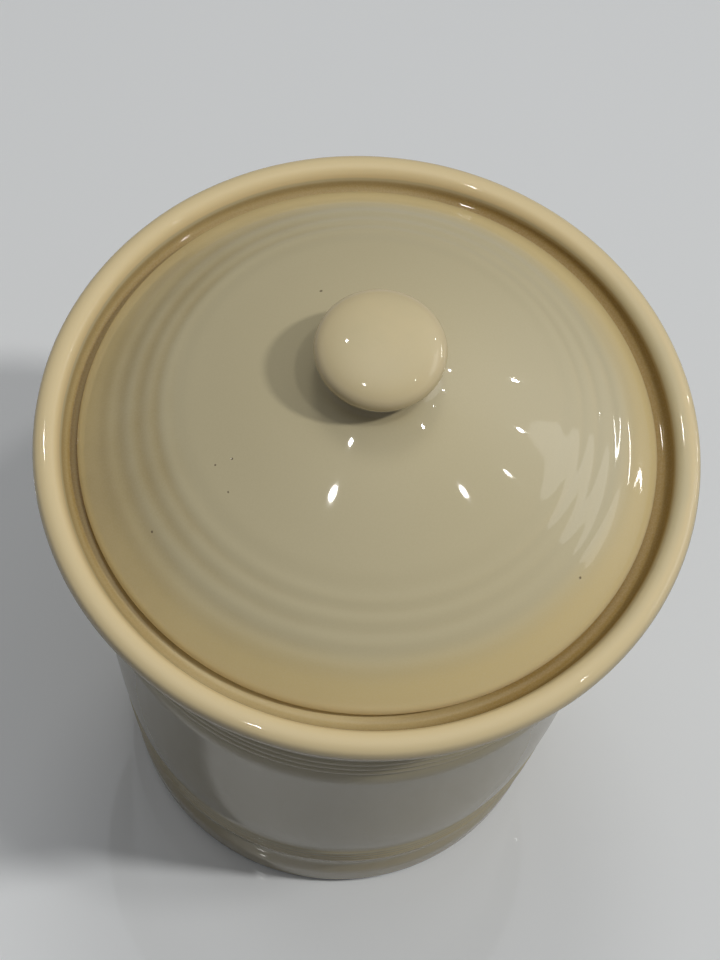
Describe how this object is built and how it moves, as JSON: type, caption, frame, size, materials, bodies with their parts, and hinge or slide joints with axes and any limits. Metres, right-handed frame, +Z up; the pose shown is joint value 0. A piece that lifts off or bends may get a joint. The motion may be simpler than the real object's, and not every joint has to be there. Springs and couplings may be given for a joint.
{
  "type": "biscuit jar",
  "caption": "Glazed stoneware biscuit jar: tapered round pot with ringed wall and rolled everted rim, and a domed lift-off lid with a flattened ball knob and a soft seal ring.",
  "frame": {"origin": "centre of the foot ring's resting face, on the jar's own axis of turning", "axes": "+Z up along the jar's axis of turning; X and Y level, the picture's near side towards -Y"},
  "size_m": [0.168, 0.168, 0.2366],
  "materials": {
    "glaze": "glossy ivory-yellow glaze",
    "seal": "matt translucent white silicone"
  },
  "bodies": {
    "jar": {"jar_body": "glaze"},
    "lid": {"lid": "glaze", "lid_knob": "glaze", "seal_ring": "seal"}
  },
  "joints": [
    {"name": "lid_lift", "type": "slide", "parent": "jar", "child": "lid", "axis": [0, 0, 1], "range_m": [0, 0.15]}
  ]
}
